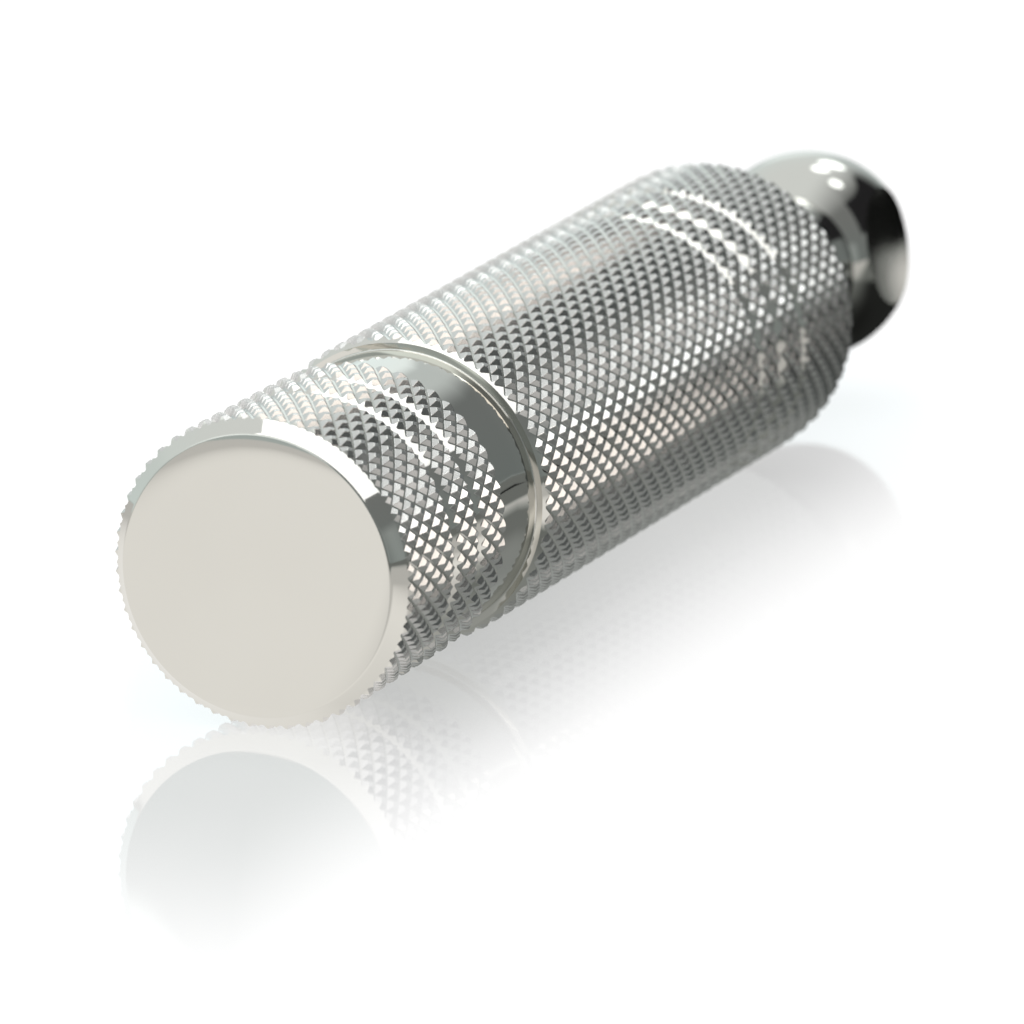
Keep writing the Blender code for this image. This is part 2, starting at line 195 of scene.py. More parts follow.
def drill_pin_holes(ob, middle, depth):
    """Index pin holes along x, centred on the station middle."""
    for i in range(PIN_COUNT):
        angle = TAU * i / PIN_COUNT
        centre = Vector((middle, PIN_CIRCLE_R * math.cos(angle), PIN_CIRCLE_R * math.sin(angle)))
        bm = bmesh.new()
        bmesh.ops.create_cone(bm, cap_ends=True, segments=32, radius1=PIN_HOLE_R * MM,
                              radius2=PIN_HOLE_R * MM, depth=depth * MM,
                              matrix=Matrix.Translation(centre * MM) @ ALONG_X)
        cut(ob, bm)


def groove(x, radius):
    """Groove with walls near 45 degrees and a narrow floor, from high x to low x."""
    return [(x + GROOVE_HALF, radius), (x + GROOVE_FLOOR_HALF, radius - GROOVE_DEPTH),
            (x - GROOVE_FLOOR_HALF, radius - GROOVE_DEPTH), (x - GROOVE_HALF, radius)]


# ---------------------------------------------------------------------- knurl
# Corners of a diamond as (column, row) steps; columns go round the bar, rows go up x
NEXT, HIGH, PREVIOUS, LOW = range(4)
DIAMOND = ((1, 0), (0, 1), (-1, 0), (0, -1))


def knurled_bar(x0, x1, tip_radius, plain_end, phase=0.0):
    """Solid bar covered in flat-tipped diamonds, run on plain at high x to plain_end.

    Diamonds sit where column + row is even; phase turns the lattice, in columns.
    """
    half = KNURL_PITCH / 2
    rows = math.ceil((x1 - x0) / half)
    rows += rows % 2
    columns = 2 * KNURL_COUNT
    bm = bmesh.new()

    def corners(column, row, reach, depth):
        made = []
        for step_round, step_along in DIAMOND:
            x = x0 + (row + step_along * reach) * half
            radius = tip_radius(x) - depth
            angle = (column + step_round * reach + phase) * TAU / columns
            made.append(bm.verts.new((x * MM, radius * math.cos(angle) * MM,
                                      radius * math.sin(angle) * MM)))
        return made

    base, tip = {}, {}
    for row in range(1, rows):
        for column in range(columns):
            if (column + row) % 2 == 0:
                base[column, row] = corners(column, row, 1 - VALLEY, KNURL_DEPTH)
                tip[column, row] = corners(column, row, TIP_FLAT, 0.0)

    for (column, row), foot in base.items():
        top = tip[column, row]
        bm.faces.new(top)
        for i in range(4):
            j = (i + 1) % 4
            bm.faces.new((foot[i], foot[j], top[j], top[i]))
        after, before = (column + 1) % columns, (column - 1) % columns
        # valley strips to the two neighbours at higher x
        if row + 1 < rows:
            right, left = base[after, row + 1], base[before, row + 1]
            bm.faces.new((foot[NEXT], right[LOW], right[PREVIOUS], foot[HIGH]))
            bm.faces.new((foot[HIGH], left[NEXT], left[LOW], foot[PREVIOUS]))
        # the small flat where diamonds meet, on this one's next-column side
        meeting = [foot[NEXT]]
        if row + 1 < rows:
            meeting.append(base[after, row + 1][LOW])
        meeting.append(base[(column + 2) % columns, row][PREVIOUS])
        if row - 1 > 0:
            meeting.append(base[after, row - 1][HIGH])
        bm.faces.new(meeting)

    # plain skirt and flat cap at each end
    for row, side, x in ((1, LOW, x0 - half), (rows - 1, HIGH, plain_end)):
        edge = []
        for column in range(columns):
            if (column + row) % 2 == 0:
                foot = base[column, row]
                edge += [foot[PREVIOUS], foot[side], foot[NEXT]]
        ring = [bm.verts.new((x * MM, vert.co.y, vert.co.z)) for vert in edge]
        for i in range(len(edge)):
            j = (i + 1) % len(edge)
            bm.faces.new((edge[i], edge[j], ring[j], ring[i]))
        bm.faces.new(ring)
    bmesh.ops.recalc_face_normals(bm, faces=bm.faces)
    return bm


# ------------------------------------------------------------- shader helpers
class Graph:
    """Short ways to add shader nodes; an input takes either a value or a socket to link."""

    def __init__(self, owner, emptied=True):
        owner.use_nodes = True
        self.tree = owner.node_tree
        if emptied:
            self.tree.nodes.clear()

    def feed(self, socket, value):
        if isinstance(value, bpy.types.NodeSocket):
            self.tree.links.new(value, socket)
        else:
            socket.default_value = value

    def add(self, kind, inputs=None, **settings):
        node = self.tree.nodes.new("ShaderNode" + kind)
        for name, value in settings.items():
            setattr(node, name, value)
        for key, value in (inputs or {}).items():
            self.feed(node.inputs[key], value)
        return node

    def shader(self, kind, inputs):
        return self.add(kind, inputs).outputs[0]

    def calc(self, operation, *values):
        return self.add("Math", dict(enumerate(values)), operation=operation).outputs[0]

    def times(self, product, *factors):
        for factor in factors:
            product = self.calc("MULTIPLY", product, factor)
        return product

    def step(self, value, over, to=(0.0, 1.0), smooth=True):
        """Carry value from the range over to the range to, clamped."""
        inputs = {"Value": value, "From Min": over[0], "From Max": over[1],
                  "To Min": to[0], "To Max": to[1]}
        curve = "SMOOTHSTEP" if smooth else "LINEAR"
        return self.add("MapRange", inputs, interpolation_type=curve).outputs["Result"]

    def blend(self, factor, first, second):
        """Mix of two colours."""
        return self.add("Mix", {0: factor, 6: first, 7: second}, data_type="RGBA").outputs[2]

    def switch(self, factor, first, second):
        """Mix of two shaders."""
        return self.shader("MixShader", {"Fac": factor, 1: first, 2: second})

    def noise(self, coords, scale, detail=2.0, roughness=0.5):
        inputs = {"Vector": coords, "Scale": scale, "Detail": detail, "Roughness": roughness}
        return self.add("TexNoise", inputs).outputs["Fac"]

    def bump(self, height, strength, distance, normal=None):
        inputs = {"Strength": strength, "Distance": distance, "Height": height}
        if normal:
            inputs["Normal"] = normal
        return self.add("Bump", inputs).outputs["Normal"]


# ------------------------------------------------------------------ materials
TONE_DRIFT = 0.02                 # how far the steel's colour wanders either way
WORN_EDGE = (0.96, 0.95, 0.92, 1.0)


def metal(name, colour, roughness, scratch, grain=0.0, wear=0.0, edge_radius=0.0):
    """Steel: tonal drift, patchy roughness, fine turning lines and bright worn edges."""
    material = bpy.data.materials.new(name)
    graph = Graph(material, emptied=False)
    surface = graph.tree.nodes["Principled BSDF"].inputs
    surface["Metallic"].default_value = 1.0
    coords = graph.add("TexCoord").outputs["Object"]

    shown = graph.blend(graph.noise(coords, scale=70.0, detail=4.0),
                        (*[part - TONE_DRIFT for part in colour], 1.0),
                        (*[part + TONE_DRIFT for part in colour], 1.0))
    if wear > 0:
        pointiness = graph.add("NewGeometry").outputs["Pointiness"]
        worn = graph.step(pointiness, over=(0.50, 0.62), to=(0.0, wear), smooth=False)
        shown = graph.blend(worn, shown, WORN_EDGE)
    graph.feed(surface["Base Color"], shown)

    smudge = graph.noise(coords, scale=210.0, detail=6.0, roughness=0.65)
    patchy = graph.step(smudge, over=(0.35, 0.72), to=(roughness * 0.75, roughness * 1.45),
                        smooth=False)
    graph.feed(surface["Roughness"], patchy)

    # turning lines: noise that varies quickly along x and radius, and not around
    along = graph.add("SeparateXYZ", {"Vector": coords}).outputs["X"]
    flat = graph.add("VectorMath", {0: coords, 1: (0.0, 1.0, 1.0)}, operation="MULTIPLY")
    radius = graph.add("VectorMath", {0: flat.outputs["Vector"]}, operation="LENGTH")
    turned = graph.add("CombineXYZ", {"X": along, "Y": radius.outputs["Value"]})
    lines = graph.noise(turned.outputs["Vector"], scale=5200.0, detail=2.0)
    rounded = None
    if edge_radius > 0:
        rounded = graph.add("Bevel", {"Radius": edge_radius}, samples=6).outputs["Normal"]
    normal = graph.bump(lines, strength=scratch, distance=0.0000025, normal=rounded)
    # broad, shallow waviness
    normal = graph.bump(graph.noise(coords, scale=260.0, detail=1.0),
                        strength=0.35, distance=0.00001, normal=normal)
    if grain > 0:
        normal = graph.bump(graph.noise(coords, scale=2600.0, detail=4.0),
                            strength=grain, distance=0.00002, normal=normal)
    graph.feed(surface["Normal"], normal)
    return material


def rubber(name):
    """Matt, finely mottled black rubber."""
    material = bpy.data.materials.new(name)
    graph = Graph(material, emptied=False)
    surface = graph.tree.nodes["Principled BSDF"].inputs
    mottle = graph.noise(graph.add("TexCoord").outputs["Object"], scale=900.0, detail=5.0)
    ramp = graph.add("ValToRGB", {"Fac": mottle})
    ramp.color_ramp.elements[0].color = (0.010, 0.010, 0.011, 1)
    ramp.color_ramp.elements[1].color = (0.045, 0.044, 0.043, 1)
    graph.feed(surface["Base Color"], ramp.outputs["Color"])
    graph.feed(surface["Roughness"],
               graph.step(mottle, over=(0.0, 1.0), to=(0.55, 0.85), smooth=False))
    graph.feed(surface["Normal"], graph.bump(mottle, strength=0.3, distance=0.00003))
    return material


POLISH = metal("polished_nickel", colour=(0.71, 0.695, 0.645), roughness=0.045, scratch=0.12)
KNURL = metal("knurled_nickel", colour=(0.68, 0.665, 0.64), roughness=0.20, scratch=0.15,
              grain=0.10, wear=0.3, edge_radius=0.00010)
BOLT = metal("machined_bolt_steel", colour=(0.40, 0.40, 0.41), roughness=0.32, scratch=0.6,
             grain=0.3, wear=0.4)
SPRING = metal("drawn_spring_steel", colour=(0.52, 0.51, 0.49), roughness=0.28, scratch=0.4,
               grain=0.2, wear=0.3)
ZINC = metal("ground_zinc_steel", colour=(0.66, 0.67, 0.69), roughness=0.24, scratch=0.6,
             grain=0.15, wear=0.4)
RUBBER = rubber("nitrile_rubber")


# --------------------------------------------------------------------- barrel
def barrel_tip(x):
    """Radius of the tapered barrel over its diamonds' tips."""
    share = (x - BARREL_X0) / (SHOULDER_X - BARREL_X0)
    return BARREL_R + (SHOULDER_R - BARREL_R) * share


def barrel_outline():
    """Section of the barrel: outside from high x to low x, then the bore back."""
    outline = [(BARREL_X1, THREAD_R - 1.2), (BARREL_X1 - 1.2, THREAD_R)]
    root = THREAD_R - THREAD_DEPTH
    x = BARREL_X1 - 1.4
    while x > RECESS_END + 4.9:
        outline += [(x, THREAD_R), (x - 0.2, THREAD_R), (x - 0.75, root), (x - 0.9, root)]
        x -= THREAD_PITCH
    # square groove between thread and recess
    outline += [(RECESS_END + 3.7, THREAD_R), (RECESS_END + 3.7, THREAD_R - 1.9),
                (RECESS_END + 1.5, THREAD_R - 1.9), (RECESS_END + 1.5, THREAD_R)]
    # recess, ending in a fillet at the shoulder
    outline += [(RECESS_END, THREAD_R), (RECESS_END, RECESS_R - 0.12),
                (RECESS_END - 0.12, RECESS_R), (SHOULDER_X + 4.0, RECESS_R)]
    for i in range(FILLET_STEPS + 1):
        angle = -math.pi / 2 - math.pi / 2 * i / FILLET_STEPS
        outline.append((SHOULDER_X + FILLET_R + FILLET_R * math.cos(angle),
                        RECESS_R + FILLET_R + FILLET_R * math.sin(angle)))
    # shoulder and knurled length
    edge_r = barrel_tip(SHOULDER_X)
    outline += [(SHOULDER_X, edge_r - 0.58), (SHOULDER_X - 0.05, edge_r - 0.52),
                (SHOULDER_X - 0.58, edge_r), (SHOULDER_X - 0.64, edge_r + CLEAR)]
    for x in reversed(BARREL_GROOVES):
        outline += groove(x, barrel_tip(x) + CLEAR)
    # low-x end and stepped bore
    outline += [(BARREL_X0 + 0.78, barrel_tip(BARREL_X0 + 0.78) + CLEAR),
                (BARREL_X0 + 0.28, BARREL_R - 0.26), (BARREL_X0, BARREL_R - 0.88),
                (BARREL_X0, BARREL_BORE_R + 0.6), (BARREL_X0 + 0.6, BARREL_BORE_R),
                (39.3, BARREL_BORE_R), (39.3, BOLT_BORE_R),
                (110.0, BOLT_BORE_R), (110.0, CAP_END_BORE_R),
                (BARREL_X1 - 0.4, CAP_END_BORE_R), (BARREL_X1, CAP_END_BORE_R + 0.4)]
    return outline


def build_barrel():
    ob = solid(knurled_bar(BARREL_X0 - 2 * KNURL_PITCH, SHOULDER_X + KNURL_PITCH * 0.6,
                           barrel_tip, plain_end=BARREL_X1 + 3.0))
    cut(ob, revolve(barrel_outline(), 200, closed=True), "INTERSECT")
    drill_pin_holes(ob, BARREL_HOLE_END - BARREL_HOLE_DEPTH / 2, BARREL_HOLE_DEPTH)
    return ob


# -------------------------------------------------------------------- end cap
# Outer face and its rounded, bevelled rim: distance in from CAP_X1, radius
CAP_FACE = (
    (0.0, 0.0), (0.0, 4.0), (0.0, 8.0), (0.0, 11.36), (0.02, 11.43),
    (0.08, 11.51), (0.18, 11.59), (1.20, 12.42), (1.31, 12.53),
)
# Closed end of the cap's bore: x, radius
CAP_BORE_END = ((122.8, 10.3), (123.6, 9.9), (124.1, 9.0), (124.3, 7.0), (124.3, 0.0))


def cap_tip(x):
    """Radius of the straight cap over its diamonds' tips."""
    return CAP_R


def cap_outline():
    """Section of the cap: outer face, outside down to low x, then the threaded bore."""
    outline = [(CAP_X1 - inset, radius) for inset, radius in CAP_FACE]
    outline.append((CAP_X1 - 1.50, CAP_R + CLEAR))
    for x in reversed(CAP_GROOVES):
        outline += groove(x, CAP_R + CLEAR)
    outline += [(CAP_X0 + 0.35, CAP_R + CLEAR), (CAP_X0 + 0.12, CAP_R - 0.15),
                (CAP_X0, CAP_R - 0.4), (CAP_X0, CAP_BORE_R + 0.6),
                (CAP_X0 + 0.6, CAP_BORE_R), (CAP_X0 + 4.4, CAP_BORE_R)]
    x = CAP_X0 + 5.0
    while x < 121.4:
        outline += [(x, CAP_BORE_R), (x + 0.2, CAP_BORE_R),
                    (x + 0.6, CAP_THREAD_ROOT_R), (x + 0.85, CAP_THREAD_ROOT_R)]
        x += THREAD_PITCH
    return outline + list(CAP_BORE_END)


def build_cap():
    ob = solid(knurled_bar(CAP_X0 - KNURL_PITCH, CAP_X1 - 0.2, cap_tip,
                           plain_end=CAP_X1 + 3.0, phase=0.37))
    cut(ob, revolve(cap_outline(), 200, closed=False), "INTERSECT")
    return ob


# --------------------------------------------------------- finish and placing
def is_turned(face, tip_radius):
    """True on faces that lie on the turned envelope rather than on a diamond."""
    centre, normal = face.center, face.normal
    radius = math.hypot(centre.y, centre.z)
    divisor = max(radius, 1e-9)
    radial = (normal.y * centre.y + normal.z * centre.z) / divisor
    tangential = abs((normal.z * centre.y - normal.y * centre.z) / divisor)
    tip = tip_radius(centre.x / MM)
    if radius / MM < tip - KNURL_DEPTH - 0.02:
        return True
    on_tip_flat = radial > 0.97 and radius / MM > tip - 0.04
    return tangential < 0.10 and not on_tip_flat


def finish_knurled(ob, tip_radius):
    """Flat knurled facets, and smooth polished faces elsewhere."""
    mesh = ob.data
    mesh.materials.clear()
    mesh.materials.append(KNURL)
    mesh.materials.append(POLISH)
    for face in mesh.polygons:
        turned = is_turned(face, tip_radius)
        face.material_index = int(turned)
        face.use_smooth = turned
    mesh.set_sharp_from_angle(angle=math.radians(24))


def hand_over(ob, name, body, node):
    """Move a finished mesh from the ball's centre to the frame and put it in its place."""
    ob.data.transform(Matrix.Translation((OFFSET * MM, 0.0, 0.0)))
    ob.name = name
    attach(ob, body)
    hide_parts(node)


barrel = build_barrel()
cap = build_cap()
finish_knurled(barrel, barrel_tip)
finish_knurled(cap, cap_tip)
hand_over(barrel, "barrel_knurled", "peg", "barrel_sleeve")
hand_over(cap, "end_cap_knurled", "cap", "end_cap")

# --------------------------------------------------------------------- tongue
# Collar, then the grooved spigot inside the barrel, then the bore back: x, radius
TONGUE_TAIL = [
    (22.4, COLLAR_R - 0.2), (22.7, COLLAR_R), (25.7, COLLAR_R), (25.9, COLLAR_R - 0.2),
    (25.9, SPIGOT_R), (33.4, SPIGOT_R), (33.4, 5.9), (35.6, 5.9), (35.6, SPIGOT_R),
    (38.2, SPIGOT_R), (39.0, 7.0), (39.0, 4.9),
    (38.4, TONGUE_BORE_R), (22.4, TONGUE_BORE_R), (22.4, 2.6), (1.0, 2.6), (1.0, 0.0),
]


def tongue_outline():
    """Section of the tongue from the ball's pole: ball, waist, then tail and bore."""
    outline = [(-BALL_R * math.cos(angle), BALL_R * math.sin(angle))
               for angle in map(math.radians, range(0, 136, 3))]
    ball_x, ball_r = outline[-1]
    for i in range(1, WAIST_STEPS + 1):
        share = i / WAIST_STEPS
        line = ball_r + (10.6 - ball_r) * share ** 3
        pinch = (line - WAIST_R) * 0.72 * math.sin(math.pi * share) ** 0.8
        outline.append((ball_x + (WAIST_END - ball_x) * share, line - pinch))
    return outline + TONGUE_TAIL


def build_tongue():
    ob = solid(revolve(list(reversed(tongue_outline())), 144, closed=False))
    # flats either side of the ball, square to the pivot
    size = (CUTTER_WIDTH * MM, CUTTER_WIDTH * MM, CUTTER_THICK * MM, 1)
    for side in (1.0, -1.0):
        centre = PIVOT_AXIS * side * (FLAT_HALF + CUTTER_THICK / 2) * MM
        bm = bmesh.new()
        bmesh.ops.create_cube(bm, size=1.0, matrix=Matrix.Translation(centre) @ ALONG_PIVOT
                              @ Matrix.Diagonal(size))
        cut(ob, bm)
    # pivot bore, blind towards +Y, with a 45 degree countersink at the -Y flat
    cone_end = -FLAT_HALF - COUNTERSINK_OVER
    cone_r = PIVOT_BORE_R + (COUNTERSINK_OVER + COUNTERSINK_START)
    bore = [(PIVOT_BORE_END, 0.0), (PIVOT_BORE_END, PIVOT_BORE_R),
            (-FLAT_HALF + COUNTERSINK_START, PIVOT_BORE_R), (cone_end, cone_r), (cone_end, 0.0)]
    cut(ob, revolve(bore, 96, closed=False, matrix=ALONG_PIVOT))
    drill_pin_holes(ob, TONGUE_HOLE_START + TONGUE_HOLE_DEPTH / 2, TONGUE_HOLE_DEPTH)
    ob.data.materials.clear()
    ob.data.materials.append(POLISH)
    shade(ob.data, sharp_degrees=22)
    return ob


hand_over(build_tongue(), "tongue_polished", "peg", "tongue")

# --------------------------------------------------------------- pivot sleeve
# Waisted tube with eased ends: distance along the pivot, radius
SLEEVE = [
    (6.0, 3.95), (5.92, 4.08), (5.75, SLEEVE_R), (1.4, SLEEVE_R),
    (1.0, SLEEVE_WAIST_R), (-1.0, SLEEVE_WAIST_R), (-1.4, SLEEVE_R),
    (-SLEEVE_END + 0.25, SLEEVE_R), (-SLEEVE_END + 0.08, 4.08), (-SLEEVE_END, 3.95),
    (-SLEEVE_END, 3.5), (-SLEEVE_END + 0.2, SLEEVE_BORE_R), (5.8, SLEEVE_BORE_R), (6.0, 3.5),
]
sleeve = new_object("pivot_sleeve_turned", revolve(SLEEVE, 96, closed=True, matrix=ALONG_PIVOT),
                    ZINC, sharp_degrees=24)
hand_over(sleeve, "pivot_sleeve_turned", "pivot", "pivot_sleeve")

# --------------------------------------- CAD pieces that only take a material
for material, pieces in (
    (BOLT, ("detent_ball", "detent_plug", "index_pin_1", "index_pin_2", "index_pin_3",
            "core_bolt")),
    (SPRING, ("detent_spring", "lock_washer")),
    (RUBBER, ("rear_oring", "cap_oring")),
    (ZINC, ("bolt_washer",)),
):
    for piece in pieces:
        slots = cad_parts[piece].data.materials
        slots.clear()
        slots.append(material)


# ---------------------------------------------------------------------- floor
# From here on lengths are metres in the frame.
def floor_reflection(graph, x, y):
    """The floor as the peg mirrors it: a painted pattern of light and shade."""
    step, times = graph.step, graph.times

    def box(x_range, y_range, soft=0.004):
        """1 inside a soft-edged rectangle of the floor."""
        sides = []
        for value, (low, high) in ((x, x_range), (y, y_range)):
            sides.append(times(step(value, over=(low - soft, low + soft)),
                               step(value, over=(high + soft, high - soft))))
        return times(*sides)

    # bright towards -Y, shaded towards +Y; the edge shifts towards -Y by the ball
    shifted = graph.calc("ADD", y, step(x, over=(-0.030, -0.070), to=(0.0, 0.022)))
    side = times(step(shifted, over=(0.002, 0.026), to=(0.98, 0.19)),
                 step(y, over=(-0.22, -0.055), to=(0.62, 1.0)))
    # light again beyond the shade on the +Y side
    beyond = times(step(y, over=(0.026, 0.052), to=(0.0, 0.60)),
                   step(x, over=(-0.060, -0.035)),
                   step(x, over=(0.20, 0.11)))
    side = graph.calc("MAXIMUM", side, beyond)
    # light before the end cap, and on the +Y side of it
    end = times(step(x, over=(0.052, 0.074)),
                step(y, over=(0.050, 0.130), to=(1.0, 0.0)),
                step(x, over=(0.072, 0.086), to=(1.0, 0.66)))
    far = times(step(x, over=(0.026, 0.046), to=(0.0, 0.95)),
                step(y, over=(0.028, 0.042)),
                step(y, over=(0.060, 0.130), to=(1.0, 0.0)),
                step(x, over=(0.074, 0.086), to=(1.0, 0.66)))
    tone = graph.calc("MAXIMUM", side, graph.calc("MAXIMUM", end, far))
    # painted shade: darker rectangles beneath the peg and around the ball, where they shade the
    # floor, and a painted dark patch past the ball
    for dark, loss in (
        (box(x_range=(-0.060, 0.058), y_range=(-0.013, 0.018), soft=0.007), -0.60),
        (box(x_range=(-0.108, -0.052), y_range=(-0.024, 0.045), soft=0.008), -0.90),
        (box(x_range=(-0.42, -0.165), y_range=(0.050, 0.130)), -0.97),
    ):
        tone = times(tone, graph.calc("MULTIPLY_ADD", dark, loss, 1.0))
    # a lit strip past the ball, cut off on a slant
    slope = 0.39
    slant = step(graph.calc("MULTIPLY_ADD", x, slope, y), over=(-0.0115, -0.0165))
    strip = times(box(x_range=(-0.252, -0.163), y_range=(0.040, 0.20)), slant,
                  step(x, over=(-0.252, -0.205), to=(0.42, 0.84)))
    tone = graph.calc("MAXIMUM", tone, strip)
    shade_tint, light_tint = (0.94, 1.0, 0.97, 1), (1.0, 0.99, 0.975, 1)
    tint = graph.blend(step(tone, over=(0.2, 0.7)), shade_tint, light_tint)
    return graph.shader("Emission", {"Color": tint, "Strength": tone})


def gloss_share(graph, position, x, y):
    """How glossy the floor looks to the camera: most near the peg's high-X end."""
    step, times = graph.step, graph.times
    reach_x, reach_y = 0.93, 0.36     # relative lengths of the fade along x and y
    past_cap = graph.calc("SUBTRACT", x, (CAP_X1 + OFFSET) * MM)
    away = graph.calc("MAXIMUM", graph.calc("DIVIDE", past_cap, reach_x),
                      graph.calc("DIVIDE", y, reach_y))
    across_x, across_y = VIEW_RIGHT
    across = graph.calc("MULTIPLY_ADD", x, across_x, times(y, across_y))
    swing, least = 0.10, 0.95         # slight unevenness
    uneven = graph.calc("MULTIPLY_ADD", graph.noise(position, scale=30.0), swing, least)
    return times(
        step(away, over=(0.018, 0.092), to=(0.45, 0.0)),
        uneven,
        times(step(y, over=(-0.030, -0.013)), step(x, over=(-0.095, -0.072))),
        times(step(across, over=(-0.0385, -0.0355)), step(across, over=(0.036, 0.030))),
        step(y, over=(0.010, 0.030), to=(1.0, 0.76)),
        step(across, over=(-0.014, 0.012), to=(1.0, 0.62)))


def white_acrylic():
    """Floor that differs for the camera, for mirror reflections and for bounced light."""
    material = bpy.data.materials.new("white_acrylic")
    graph = Graph(material)
    position = graph.add("NewGeometry").outputs["Position"]
    x, y, _ = graph.add("SeparateXYZ", {"Vector": position}).outputs
    matt = graph.shader("BsdfDiffuse", {"Color": (0.90, 0.90, 0.90, 1)})
    mirrored = floor_reflection(graph, x, y)
    # to the camera: white lit from behind, as a light table is, under a fading gloss
    table = graph.shader("BsdfDiffuse", {"Color": (0.36, 0.36, 0.36, 1)})
    glow = graph.shader("Emission", {"Strength": 0.72})
    lit_table = graph.shader("AddShader", {0: table, 1: glow})
    gloss = graph.shader("BsdfGlossy", {"Color": (0.95, 0.98, 1.0, 1), "Roughness": 0.03})
    seen = graph.switch(gloss_share(graph, position, x, y), lit_table, gloss)
    ray = graph.add("LightPath").outputs
    bounced = graph.switch(ray["Is Glossy Ray"], matt, mirrored)
    picked = graph.switch(ray["Is Camera Ray"], bounced, seen)
    graph.add("OutputMaterial", {"Surface": picked})
    return material


def build_floor():
    """Floor tilted to lie along the underside of the tapered peg."""
    bm = bmesh.new()
    bmesh.ops.create_grid(bm, x_segments=24, y_segments=24, size=3.0)
    ob = new_object("studio_floor", bm, white_acrylic())
    slope = math.atan2(BARREL_R - CAP_R, CAP_X1 - BARREL_X0)
    ob.rotation_euler = (0.0, -slope, 0.0)
    ob.location = ((BARREL_X0 + OFFSET) * MM, 0.0, -(BARREL_R + 0.02) * MM)


scene = bpy.context.scene
scene.view_settings.view_transform = "Standard"
scene.view_settings.look = "None"
build_floor()

# ----------------------------------------------------------------- studio sky
# Round lamps in the reflected room: direction, degrees at full strength, degrees at which
# it has faded out, level added
GLOWS = (
    ((-0.904, -0.354, 0.239), 6.0, 13.0, 0.45),
    ((-0.36, 0.26, 0.896), 4.0, 6.5, 2.2),
    ((-0.57, -0.06, 0.821), 4.0, 6.5, 2.6),
    ((-0.76, -0.05, 0.648), 5.0, 8.0, 2.6),
)


def room_level(graph, direction, x, y, z):
    """Brightness of the reflected room by direction."""
    step, times = graph.step, graph.times

    def add(first, second):
        return graph.calc("ADD", first, second)

    # the bright half is towards -Y; its edge is sharp near the horizon and melts into
    # the overhead light
    edge = step(z, over=(0.45, 0.92), to=(0.16, 0.75))
    bright = step(z, over=(0.22, 0.42), to=(0.82, 0.87))
    dark = add(step(x, over=(-0.88, -0.78), to=(0.26, 0.10)),
               add(step(x, over=(-0.22, -0.05), to=(0.0, 0.12)),
                   times(step(x, over=(0.15, 0.30), to=(0.0, 0.16)),
                         step(z, over=(0.36, 0.26)))))
    level = step(y, over=(-0.06, edge), to=(bright, dark))
    # a brighter bank past the end cap on the -Y side
    bank = times(step(x, over=(0.25, 0.55), to=(0.0, 0.42)),
                 step(y, over=(0.08, -0.04)),
                 step(z, over=(0.85, 0.65)),
                 step(z, over=(0.27, 0.35)))
    level = add(level, bank)
    # dimmer low down towards +X, and at the far -X end
    low_front = times(step(x, over=(0.25, 0.45), to=(0.0, 0.34)), step(z, over=(0.35, 0.27)))
    level = times(level, graph.calc("SUBTRACT", 1.0, low_front),
                  step(x, over=(-0.90, -0.80), to=(0.78, 1.0)))
    for towards, inner, outer, power in GLOWS:
        dot = graph.add("VectorMath", {0: direction, 1: Vector(towards).normalized()},
                        operation="DOT_PRODUCT").outputs["Value"]
        cosines = (math.cos(math.radians(outer)), math.cos(math.radians(inner)))
        level = add(level, step(dot, over=cosines, to=(0.0, power)))
    below_horizon = step(z, over=(0.0, -0.02))
    level_below = 0.4
    return graph.add("Mix", {0: below_horizon, 2: level, 3: level_below},
                     data_type="FLOAT").outputs[0]


def build_world():
    """White to the camera and to bounced light; a shaped room in reflections."""
    world = bpy.data.worlds.new("studio")
    scene.world = world
    graph = Graph(world)
    direction = graph.add("TexCoord").outputs["Generated"]
    x, y, z = graph.add("SeparateXYZ", {"Vector": direction}).outputs
    level = room_level(graph, direction, x, y, z)
    low_tint, high_tint = (0.87, 0.98, 0.98, 1), (0.95, 0.99, 1.0, 1)
    tint = graph.blend(graph.step(z, over=(-0.1, 0.9)), low_tint, high_tint)
    room = graph.shader("Background", {"Color": tint, "Strength": level})
    white = {"Color": (1, 1, 1, 1), "Strength": 1.0}
    soft = graph.shader("Background", white)
    backdrop = graph.shader("Background", white)
    ray = graph.add("LightPath").outputs
    bounced = graph.switch(ray["Is Glossy Ray"], soft, room)
    picked = graph.switch(ray["Is Camera Ray"], bounced, backdrop)
    graph.add("OutputWorld", {"Surface": picked})


build_world()


# --------------------------------------------------------------------- lights
def area_light(name, size, energy, colour=(1.0, 1.0, 1.0)):
    light = bpy.data.lights.new(name, "AREA")
    light.shape = "RECTANGLE"
    light.size, light.size_y = size
    light.energy = energy
    light.color = colour
    ob = bpy.data.objects.new(name, light)
    scene.collection.objects.link(ob)
    return ob


def hide_from(ob, *rays):
    for ray in rays:
        setattr(ob, "visible_" + ray, False)


overhead = area_light("overhead_bank", size=(0.9, 0.9), energy=1.0)
overhead.location = (0.05, -0.1, 0.9)
hide_from(overhead, "glossy")

# a warm lamp on the +Y side of the peg, aimed at a point on its axis
window = area_light("warm_window", size=(0.13, 0.09), energy=0.055, colour=(1.0, 0.93, 0.87))
window.location = (-0.020, 0.124, 0.152)
WINDOW_TARGET = Vector((0.02, 0, 0))
aim = Vector(window.location) - WINDOW_TARGET
window.rotation_euler = aim.to_track_quat("Z", "X").to_euler()

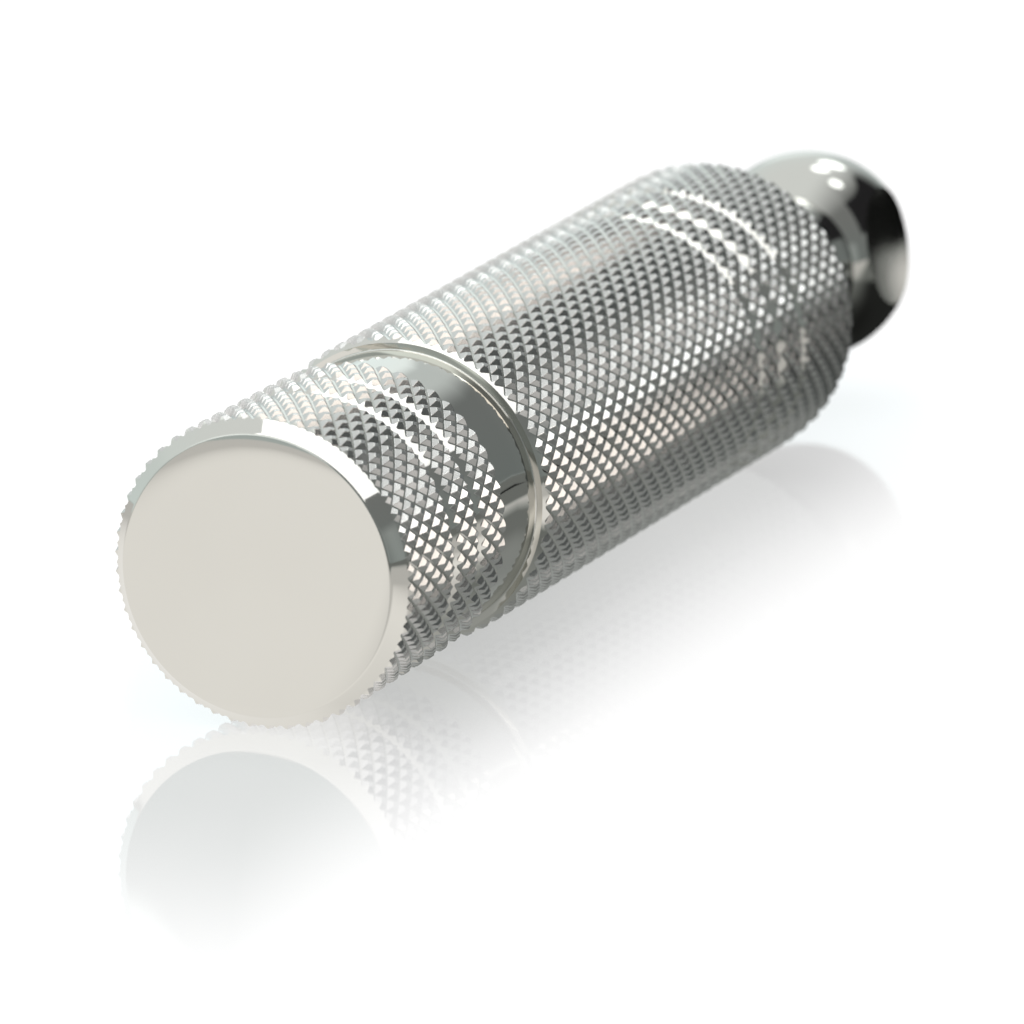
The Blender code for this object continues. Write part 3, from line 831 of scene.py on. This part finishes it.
# a long overhead strip seen by the turned walls that face the cap's end
strip = area_light("overhead_strip", size=(0.16, 0.60), energy=0.42, colour=(0.97, 0.98, 1.0))
strip_place = Vector((0.175, 0.10, 0.40))
STRIP_RUN = Vector((0.09, 0.55, -0.19))       # rough direction of its long side
back = strip_place.normalized()
run = (STRIP_RUN - back * STRIP_RUN.dot(back)).normalized()
turn = Matrix((run.cross(back), run, back)).transposed()
strip.matrix_world = Matrix.Translation(strip_place) @ turn.to_4x4()

# both show only as reflections in the barrel and the cap
receivers = bpy.data.collections.new("window_receivers")
receivers.objects.link(barrel)
receivers.objects.link(cap)
for lamp in (window, strip):
    lamp.light_linking.receiver_collection = receivers
    hide_from(lamp, "camera", "diffuse", "shadow")

# ----------------------------------------------------------------- painted dark reflection card
CARD_DISTANCE = 0.026                         # from the ball's centre
CARD_AZIMUTHS = range(76, 149, 8)             # degrees from +X towards +Y
CARD_ELEVATIONS = (24, 31, 38, 45, 53)        # degrees above the horizon


def around_ball(azimuth, elevation):
    around, rise = math.radians(azimuth), math.radians(elevation)
    return (OFFSET * MM + CARD_DISTANCE * math.cos(rise) * math.cos(around),
            CARD_DISTANCE * math.cos(rise) * math.sin(around), CARD_DISTANCE * math.sin(rise))


def build_card():
    """Curved black card over the +Y side of the ball, seen only in reflections: a painted dark
    reflection on the ball.
    """
    bm = bmesh.new()
    grid = [[bm.verts.new(around_ball(azimuth, elevation)) for azimuth in CARD_AZIMUTHS]
            for elevation in CARD_ELEVATIONS]
    for low, high in zip(grid, grid[1:]):
        for i in range(len(low) - 1):
            bm.faces.new((low[i], low[i + 1], high[i + 1], high[i]))
    material = bpy.data.materials.new("dark_reflection_card")
    graph = Graph(material)
    # near-black glow that paints a dark reflection on the ball
    dull = graph.shader("Emission", {"Color": (0.02, 0.02, 0.022, 1)})
    graph.add("OutputMaterial", {"Surface": dull})
    ob = new_object("dark_reflection_card", bm, material, sharp_degrees=60)
    hide_from(ob, "camera", "diffuse", "shadow", "transmission")


build_card()


# --------------------------------------------------------------------- camera
def build_camera():
    """Long lens from above the cap's end and the +Y side, focused near the cap."""
    camera = bpy.data.cameras.new("photo_camera")
    camera.sensor_width = 36.0
    camera.lens = 281.25
    camera.clip_start = 0.01
    ob = bpy.data.objects.new("photo_camera", camera)
    scene.collection.objects.link(ob)
    forward = Vector((-0.904, -0.354, -0.239)).normalized()
    up = Vector((*VIEW_RIGHT, 0.0)).normalized().cross(forward).normalized()
    turned = Matrix((forward.cross(up), up, -forward)).transposed()
    place = Vector((0.6918 + OFFSET * MM, 0.2412, 0.1554))
    ob.matrix_world = Matrix.Translation(place) @ turned.to_4x4()
    focus = bpy.data.objects.new("focus_point", None)
    scene.collection.objects.link(focus)
    focus.location = (0.115 + OFFSET * MM, 0.0, 0.0)
    camera.dof.use_dof = True
    camera.dof.focus_object = focus
    camera.dof.aperture_fstop = 60.0
    scene.camera = ob


build_camera()
